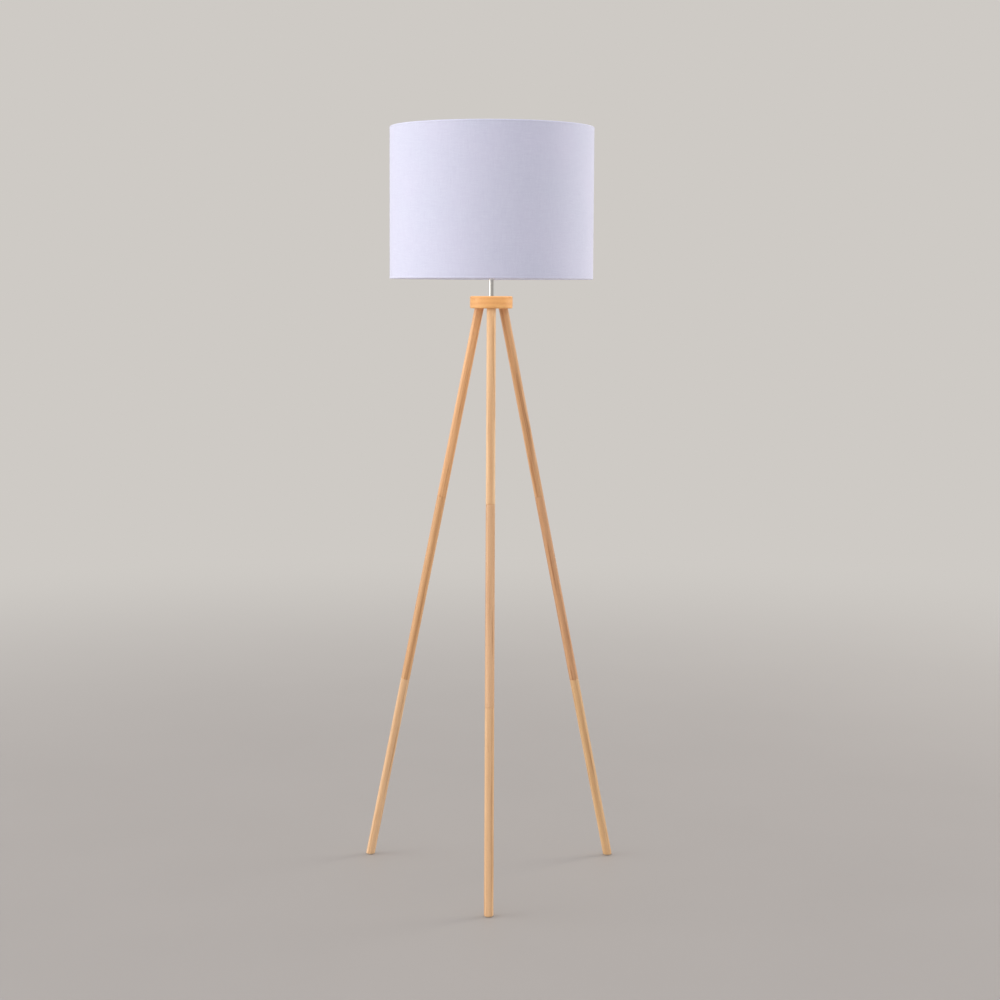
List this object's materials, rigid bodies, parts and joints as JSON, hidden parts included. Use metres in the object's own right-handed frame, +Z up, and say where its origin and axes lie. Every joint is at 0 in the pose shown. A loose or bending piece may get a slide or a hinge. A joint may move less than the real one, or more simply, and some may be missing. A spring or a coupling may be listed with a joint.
{
  "type": "tripod floor lamp",
  "caption": "Tripod floor lamp: round wooden legs in screwed sections, wooden hub, plated stem, screw lampholder with bulb, and a drum shade on a wire spider.",
  "frame": {"origin": "on the floor, in the plane of the three felt pads, below the axis of the stem and shade", "axes": "+Z up along the stem's axis; one leg stands toward -Y, the other two toward +X +Y and -X +Y"},
  "size_m": [0.5146, 0.4958, 1.492],
  "materials": {
    "leg_wood": "satin clear-lacquered light hardwood, grain along the bar",
    "hub_wood": "satin clear-lacquered light hardwood, slightly redder than the legs",
    "plated_steel": "polished nickel-chrome plate",
    "zinc_steel": "zinc-plated steel",
    "wire_white": "white-coated steel wire",
    "brass_contact": "plain brass",
    "holder_plastic": "moulded white thermoplastic",
    "bush_plastic": "moulded white nylon",
    "bulb_plastic": "smooth white plastic",
    "bulb_opal": "frosted opal",
    "bulb_cap_nickel": "nickel-plated screw cap",
    "black_insulator": "glossy black",
    "circuit_board": "green board",
    "led_plate_metal": "white-masked aluminium",
    "led_phosphor": "yellow phosphor",
    "shade_cloth": "fine plain-woven cool white cloth",
    "shade_liner": "smooth translucent white film",
    "foot_felt": "beige felt"
  },
  "bodies": {
    "stand": {"hub_disc": "hub_wood", "hub_leg_inserts": "zinc_steel", "leg_front_upper": "leg_wood", "leg_front_middle": "leg_wood", "leg_front_lower": "leg_wood", "leg_right_upper": "leg_wood", "leg_right_middle": "leg_wood", "leg_right_lower": "leg_wood", "leg_left_upper": "leg_wood", "leg_left_middle": "leg_wood", "leg_left_lower": "leg_wood", "leg_top_studs": "zinc_steel", "leg_joint_studs": "zinc_steel", "leg_joint_inserts": "zinc_steel", "foot_pad_front": "foot_felt", "foot_pad_right": "foot_felt", "foot_pad_left": "foot_felt", "stem_tube": "plated_steel", "stem_insert_nut": "zinc_steel", "stem_washer": "zinc_steel", "stem_lock_nut": "zinc_steel", "cord_bush": "bush_plastic", "lampholder_cap": "holder_plastic", "lampholder_skirt": "holder_plastic", "lampholder_core": "holder_plastic", "lampholder_centre_contact": "brass_contact", "lampholder_side_contacts": "brass_contact", "lampholder_terminals": "brass_contact", "lampholder_terminal_screws": "zinc_steel", "lampholder_grub_screw": "holder_plastic"},
    "shade": {"shade_fabric": "shade_cloth", "shade_liner": "shade_liner", "shade_top_ring": "wire_white", "shade_bottom_ring": "wire_white", "spider_arm_front": "wire_white", "spider_arm_right": "wire_white", "spider_arm_left": "wire_white", "spider_centre_ring": "wire_white"},
    "retaining_ring": {"shade_retaining_ring": "holder_plastic"},
    "bulb_tip": {"bulb_tip_contact": "bulb_cap_nickel"},
    "bulb": {"bulb_insulator": "black_insulator", "bulb_cap": "bulb_cap_nickel", "bulb_housing": "bulb_plastic", "bulb_driver": "circuit_board", "bulb_led_plate": "led_plate_metal", "bulb_leds": "led_phosphor", "bulb_globe": "bulb_opal"}
  },
  "joints": [
    {"name": "shade_swivel", "type": "hinge", "parent": "stand", "child": "shade", "pos_m": [0, 0, 1.226], "axis": [0, 0, 1], "continuous": true},
    {"name": "ring_rise", "type": "slide", "parent": "stand", "child": "retaining_ring", "axis": [0, 0, 1], "range_m": [0, 0.01]},
    {"name": "bulb_rise", "type": "slide", "parent": "stand", "child": "bulb_tip", "axis": [0, 0, 1], "range_m": [0, 0.02]},
    {"name": "bulb_turn", "type": "hinge", "parent": "bulb_tip", "child": "bulb", "pos_m": [0, 0, 1.229], "axis": [0, 0, 1], "range_deg": [0, 1980]}
  ],
  "couplings": [
    {"joint": "bulb_rise", "follows": "bulb_turn", "m_per_rad": 0.00057773}
  ]
}
